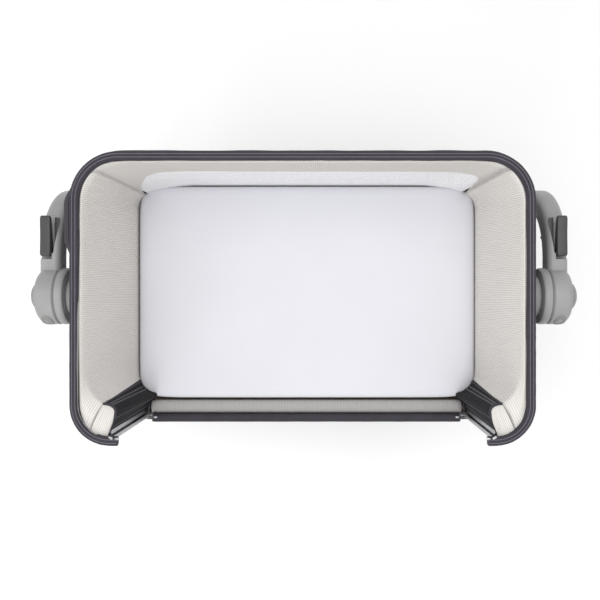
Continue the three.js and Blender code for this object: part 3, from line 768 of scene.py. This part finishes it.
class CRIB_OT_cover(bpy.types.Operator):
    """Outer cover: fabric drawn round the frame, swelling a little at its sides, with a window in its back"""

    bl_idname = "crib.cover"
    bl_label = "Outer cover"

    def execute(self, context):
        swell = settings().bulge / MM
        plan = rim_path(12.4, 361.5)
        outward = np.gradient(plan, axis=0)
        outward = np.column_stack([outward[:, 1], -outward[:, 0]])
        outward /= np.linalg.norm(outward, axis=1)[:, None]
        heights = np.concatenate([np.linspace(423.5, 431, 3), np.linspace(440, 735, 34), [738, 740.5, 742]])
        rows = []
        for (x, y), (nx, ny) in zip(plan, outward):
            column = []
            for z in heights:
                share = (z - 423) / 318
                puff = swell * math.sin(math.pi * share) ** 0.8 + 1.2 * ripple(x, y, z, 60.0, 2.0)
                puff += 2.6 * math.exp(-(((z - 728) / 12) ** 2)) * (1 if y > -150 else 0.3)
                hub = math.hypot(y - HUB_Y, z - HUB_Z)
                puff *= (1 - math.exp(-((hub / 62) ** 4))) if abs(x) > 430 else 1.0
                puff *= smoothstep(min(1.0, share * 12))
                puff -= 2.4 * smoothstep((z - 734) / 8)
                if abs(x) > 430:
                    # Slack behind the hubs, more of it on the left
                    slack = math.exp(-(((z - 706) / 30) ** 2))
                    slack = slack * smoothstep((y - 72) / 45) * smoothstep((232 - y) / 45)
                    puff += (22 if x < 0 else 3) * slack
                place = [x + nx * puff, y + ny * puff, z]
                if y < -200 and abs(x) < 420:
                    # Below the rim the cloth is drawn back to the guide rails
                    tuck = smoothstep((738 - z) / 14) * smoothstep((420 - abs(x)) / 30)
                    place[0] += math.copysign(tuck * max(0.0, 388.5 - abs(x)), x)
                    place[1] += tuck * max(0.0, -279.5 - place[1])
                column.append(place)
            rows.append(column)
        shell = grid("outer_cover_fabric", rows)
        modify(shell, "SOLIDIFY", thickness=0.0024, offset=-1.0)
        tidy(shell)
        window = prism("window_tool", rounded(-338, 497, 338, 650, 70), 262, 310, 0, axis=1)
        combine(shell, window, solver="FAST")
        for side in (-1, 1):
            hole = revolve("hub_tool", [(0, 425), (12, 425), (12, 470), (0, 470)], HUB_Y, HUB_Z, side)
            combine(shell, tidy(hole), solver="FAST")
        piece(shell, "cover", "basket", ["outer_cover"], 45)
        edge = [(x, 286.3, z) for x, z in rounded(-339.5, 495.5, 339.5, 651.5, 71, count=18)]
        cord = circle(2.6, 8, 0.6)
        rows = [[(x + a * (x / 420), y + b, z + a * ((z - 573) / 110)) for a, b in cord] for x, y, z in edge]
        piece(grid("window_hem", rows, closed_u=True, closed_v=True), "binding", "basket")
        seam = [(x, y, 741.2) for x, y in rim_path(10.6, 361.5)]
        piece(sweep("cover_top_seam", seam, circle(1.6, 8)), "binding", "basket")
        low = [(x, y, 430.0) for x, y in rim_path(12.6, 361.5)]
        piece(sweep("cover_foot_seam", low, circle(1.5, 8)), "binding", "basket")
        outline = [(x, y) for x, y in rim_path(12.2, 361.0)]
        under = prism("bottom_cover_fabric", outline, 419.8, 423.3, 1.2, axis=2)
        piece(under, "cover", "basket", ["bottom_cover"])
        return {"FINISHED"}


class CRIB_OT_mattress(bpy.types.Operator):
    """Mattress in its fitted sheet: crowned, rounded at its edges, the sheet drawn smooth over it"""

    bl_idname = "crib.mattress"
    bl_label = "Mattress"

    def execute(self, context):
        crown = settings().mattress_crown / MM
        # From the middle out, 1 is the edge; past it the sheet goes down the side
        outer = np.array([0.925, 0.95, 0.97, 0.985, 0.995, 1.0, 1.07, 1.15, 1.22])
        across = np.concatenate([-outer[::-1], np.linspace(-0.9, 0.9, 70), outer])
        along = np.concatenate([-outer[::-1], np.linspace(-0.9, 0.9, 46), outer])
        spread = ([0, 0.9, 0.95, 0.97, 0.985, 0.995, 1, 1.22], [0, 0.9, 0.955, 0.979, 0.992, 0.998, 1, 1])
        drop = ([0.9, 0.925, 0.95, 0.97, 0.985, 0.995, 1.0, 1.22],
                [489.6, 489.3, 488.4, 486.2, 482.5, 477.5, 472, 430.5])
        rows = []
        for u in across:
            column = []
            for v in along:
                q = max(abs(u), abs(v))
                # Corners are rounded by a high-order ellipse
                power = 15.0
                round_off = q / (abs(u) ** power + abs(v) ** power) ** (1 / power) if q > 0 else 1.0
                out = np.interp(q, *spread)
                scale = (out / q if q > 0 else 0.0) * (1 + (round_off - 1) * smoothstep((q - 0.55) / 0.45))
                x, y = 1.0 + 390.0 * u * scale, 15.5 + 246.0 * v * scale
                z = np.interp(q, *drop)
                if q < 1:
                    z += crown * (1 - (x / 400) ** 2) * (1 - ((y - 15) / 255) ** 2)
                    z += 0.8 * ripple(x, y, 0, 170.0, 6.0)
                    z += 0.7 * smoothstep((q - 0.7) / 0.2) * ripple(x, y, 3, 38.0, 8.0)
                column.append((x, y, float(z)))
            rows.append(column)
        pad = grid("fitted_sheet_mattress", rows)
        modify(pad, "SUBSURF", levels=1)
        piece(pad, "sheet", "basket", ["mattress"], 80)
        return {"FINISHED"}


def arm_path():
    """The arm's centre line in Y and Z: level from the hub, down through its bend, to the sleeve."""
    line = [(y, HUB_Z) for y in np.linspace(HUB_Y, 85, 14)]
    line += [(85 + 132 * math.sin(a), 528 + 132 * math.cos(a)) for a in np.linspace(0, math.pi / 2, 30)[1:]]
    return line + [(LEG_Y, z) for z in np.linspace(528, 500.2, 5)[1:]]


class CRIB_OT_arms(bpy.types.Operator):
    """Arms and hubs: moulded arms with a pocket for the lever, hub discs and rings, and domed lock buttons"""

    bl_idname = "crib.arms"
    bl_label = "Arms and hubs"

    def execute(self, context):
        for name, side in SIDES:
            line = [(side * ARM_X, y, z) for y, z in arm_path()]
            section = [(b, a) for a, b in rounded(-21, -25, 21, 25, 13, count=6)]
            beam = tidy(sweep(f"arm_{name}_shell", line, section, up=(1, 0, 0)))
            drum = [(0, 496.4), (50, 496.4), (55, 498), (57.6, 501), (58, 505), (58, 526), (56, 532),
                    (50, 537.6), (0, 538)]
            combine(beam, tidy(revolve("drum", drum, HUB_Y, HUB_Z, side)), "UNION")
            pocket = prism("pocket", rounded(80, 668.6, 178, 720, 6), *sorted((side * 511.2, side * 560)), 0)
            combine(beam, pocket)
            recess = ((512, 92), (508.5, 92), (500.5, 160), (501.5, 167), (512, 168))
            wedge = prism("wedge", [(side * x, y) for x, y in recess], 667, 700, 0, axis=2)
            combine(beam, wedge)
            corner = math.radians(50)
            modify(beam, "BEVEL", width=1.2 * MM, segments=2, limit_method="ANGLE", angle_limit=corner)
            piece(beam, "shell", "carriage", [f"arm_{name}"], 32)
            disc = [(9, 453.4), (36, 453.4), (41, 454.2), (43.6, 457), (44, 460), (44, 472), (42.6, 475.5),
                    (40, 477.9), (9, 478.2)]
            ring = [(9, 478.9), (52, 478.9), (55.6, 480), (57.6, 482.6), (58, 486), (58, 493.6), (57, 495.6),
                    (9, 495.7)]
            for stem, profile in (("hub_disc", disc), ("hub_ring", ring)):
                made = revolve(f"{stem}_{name}_shell", profile, HUB_Y, HUB_Z, side)
                piece(made, "shell", "carriage", [f"{stem}_{name}"], 32)
            dome = [(0, 529.3), (27, 529.3), (29.2, 531.5), (29.3, 542), (28.6, 547), (25.6, 552),
                    (20, 555.6), (12, 557.5), (0, 558)]
            piece(revolve(f"lock_button_{name}_cap", dome, HUB_Y, HUB_Z, side), "cap", f"lock_button_{name}",
                  [f"lock_button_{name}"], 32)
            collar = [(30, 536), (33.5, 536), (34, 538.4), (33, 539.6), (30.6, 539.6), (30, 538)]
            piece(revolve(f"button_collar_{name}", collar, HUB_Y, HUB_Z, side), "inset", "carriage")
            # An oval plate let into the drum, low on its front
            tilt = math.radians(-118)
            plate = []
            for lift, grow in ((-1.5, 1.0), (0.6, 1.0), (1.5, 0.93), (1.9, 0.8)):
                ring = []
                for k in range(36):
                    a = 2 * math.pi * k / 36
                    bend = tilt + 21 * grow * math.sin(a) / 58
                    r = 57.6 + lift
                    x = side * (518 + 12 * grow * math.cos(a))
                    ring.append((x, HUB_Y + r * math.sin(bend), HUB_Z - r * math.cos(bend)))
                plate.append(ring)
            piece(grid(f"drum_inset_{name}", plate, closed_v=True, caps=True), "inset", "carriage", (), 40)
            for index, (y, z) in enumerate(((60, 652), (128, 640), (176, 610))):
                head = [(0, 494.2), (2.6, 494.4), (3.6, 495.3), (3.6, 497.6), (0, 497.6)]
                piece(revolve(f"arm_screw_{index + 1}_{name}", head, y, z, side, 24), "zinc", "carriage")
        return {"FINISHED"}


class CRIB_OT_levers(bpy.types.Operator):
    """Release levers: dark paddles with rounded corners and a row of fine grip ribs"""

    bl_idname = "crib.levers"
    bl_label = "Release levers"

    def execute(self, context):
        for name, side in SIDES:
            x0, x1 = sorted((side * 512.0, side * 533.6))
            half = (x1 - x0) / 2
            rows = []
            stations = [86.2, 86.8, 88.5, 92, *np.linspace(97, 158, 24), 162, 165, 167, 167.8]
            for y in stations:
                near = min(1.0, (y - 85.9) / 6.0), min(1.0, (168.1 - y) / 6.0)
                pinch = math.sqrt(max(0.0, 1 - (1 - min(near)) ** 2))
                top = 691.6 - 1.2 * math.exp(-(((y - 127) / 26) ** 2)) - 2.2 * (1 - pinch)
                low = 671.4 + max(0.0, (y - 100) * 0.165) + 2.0 * (1 - pinch)
                grip = 0.45 * max(0.0, math.sin(2 * math.pi * (y - 140) / 4.4)) if 140 < y < 162 else 0.0
                width = half * (0.72 + 0.28 * pinch)
                high = min(3.2, (top - low) / 2 - 0.1)
                ring = rounded(-width, low, width, top + grip, 3.2, high, 4)
                rows.append([(a + side * 522.8, y, b) for a, b in ring])
            piece(grid(f"release_lever_{name}_paddle", rows, closed_v=True, caps=True), "dark_plastic",
                  f"release_lever_{name}", [f"release_lever_{name}"], 45)
            # A dark plate on the floor of the pocket beside the lever: partly the dark insert there, partly
            # painted shade in the well
            floor = ((511.6, 94), (509, 94), (501.4, 159), (502.3, 166), (511.6, 167))
            floor = [(side * x, y) for x, y in floor]
            insert_and_shade = prism(f"lever_well_insert_and_shade_{name}", floor, 666.5, 668.5, 0.4, axis=2)
            piece(insert_and_shade, "dark_plastic", "carriage")
        return {"FINISHED"}


class CRIB_OT_metalwork(bpy.types.Operator):
    """Columns, sleeves, rails and other hard parts that the frame already shapes, each in its own finish"""

    bl_idname = "crib.metalwork"
    bl_label = "Columns, feet and rails"

    def execute(self, context):
        finishes = {
            "tube": ("rim_tube", "base_tube", "rear_post", "front_rail", "crossbar", "hub_bracket"),
            "aluminium": ("guide_rail", "column"),
            "zinc": ("hub_axle", "lever_pin", "spring_washer", "release_rod", "wheel_axle"),
            "board": ("base_board",),
            "shell": ("sleeve", "sleeve_collar", "foot"),
            "dark_plastic": ("front_slider", "lock_latch"),
            "rubber": ("foot_pad", "rear_wheel"),
        }
        for node_name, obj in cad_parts.items():
            if "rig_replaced" in obj or obj.hide_render:
                continue
            key = next((k for k, stems in finishes.items() if node_name.startswith(stems)), None)
            if key is None:
                raise RuntimeError(f"no finish for {node_name}")
            if not obj.material_slots:
                raise RuntimeError(f"no material slot on {node_name}")
            for place in obj.material_slots:
                place.material = finish_of(key)
        for name, side in SIDES:
            x, y, z = side * ARM_X, 262.0, 24.0
            tread = [(4, 509.3), (17, 509.3), (21.5, 510), (23.6, 512), (24, 514.5), (24, 519.7),
                     (23.6, 522.2), (21.5, 524.2), (17, 524.9), (4, 524.9)]
            piece(revolve(f"rear_wheel_{name}_tyre", tread, y, z, side, 64), "rubber", f"rear_wheel_{name}",
                  [f"rear_wheel_{name}"], 40)
            cap = [(9.5, 508.2), (13.5, 508.4), (14, 509.6), (9.5, 509.6)]
            piece(revolve(f"wheel_hub_{name}", cap, y, z, side, 48), "inset", f"rear_wheel_{name}", (), 40)
        return {"FINISHED"}


class CRIB_OT_stage(bpy.types.Operator):
    """Stage: pale floor, soft lights and the camera straight above"""

    bl_idname = "crib.stage"
    bl_label = "Stage"

    def execute(self, context):
        scene = context.scene
        steps = np.linspace(-6000, 6000, 5)
        floor = grid("floor", [[(x, y, -0.5) for y in steps] for x in steps])
        made, tree = surface("matt white paper", 0.9)
        clouds, tooth = grain(tree, 900.0), grain(tree, 3.0)
        dress(tree, clouds, shade("#fafafa", 0.99), shade("#fdfdfd", 1.0), tooth, 0.05, 0.2)
        floor.data.materials.append(made)
        world = bpy.data.worlds.new("studio")
        scene.world = world
        world.use_nodes = True
        world.node_tree.nodes["Background"].inputs["Color"].default_value = (1, 1, 1, 1)
        world.node_tree.nodes["Background"].inputs["Strength"].default_value = 0.72
        for name, place, size, power in (
            ("overhead softbox", (0.2, 0.4, 2.9), 2.4, 34),
            ("front softbox", (-0.8, -2.1, 2.2), 1.6, 24),
            ("left softbox", (-2.3, 0.1, 2.0), 1.6, 9),
        ):
            lamp = bpy.data.lights.new(name, "AREA")
            lamp.shape, lamp.size, lamp.energy = "SQUARE", size, power
            light = bpy.data.objects.new(name, lamp)
            light.location = place
            light.rotation_euler = (Vector((0, 0, 0.5)) - Vector(place)).to_track_quat("-Z", "Y").to_euler()
            scene.collection.objects.link(light)
        lens = bpy.data.cameras.new("overhead camera")
        lens.sensor_width = 36.0
        lens.lens = 687 / 600 * 36
        lens.shift_x = -25 / 600
        lens.clip_end = 50
        camera = bpy.data.objects.new("overhead camera", lens)
        camera.location = (0.043, -0.003, 2.078)
        scene.collection.objects.link(camera)
        scene.camera = camera
        scene.view_settings.view_transform = "Standard"
        return {"FINISHED"}


# ---- Panel and registration --------------------------------------------------------------------------------

OPERATORS = (
    CRIB_OT_stage,
    CRIB_OT_lining,
    CRIB_OT_corners,
    CRIB_OT_rim,
    CRIB_OT_front,
    CRIB_OT_cover,
    CRIB_OT_mattress,
    CRIB_OT_arms,
    CRIB_OT_levers,
    CRIB_OT_metalwork,
)


class CRIB_PT_panel(bpy.types.Panel):
    """Sizes and colours, and a button for each group of pieces"""

    bl_idname = "CRIB_PT_panel"
    bl_label = "Bedside crib"
    bl_space_type = "VIEW_3D"
    bl_region_type = "UI"
    bl_category = "Crib"

    def draw(self, context):
        for name in CribSettings.__annotations__:
            self.layout.prop(context.scene.crib, name)
        for operator in OPERATORS:
            self.layout.operator(operator.bl_idname)


CLASSES = (CribSettings, *OPERATORS, CRIB_PT_panel)


def register():
    for cls in CLASSES:
        bpy.utils.register_class(cls)
    bpy.types.Scene.crib = bpy.props.PointerProperty(type=CribSettings)


def unregister():
    del bpy.types.Scene.crib
    for cls in reversed(CLASSES):
        bpy.utils.unregister_class(cls)


def main():
    register()
    for operator in OPERATORS:
        group, name = operator.bl_idname.split(".")
        getattr(getattr(bpy.ops, group), name)()


if __name__ == "__main__":
    main()
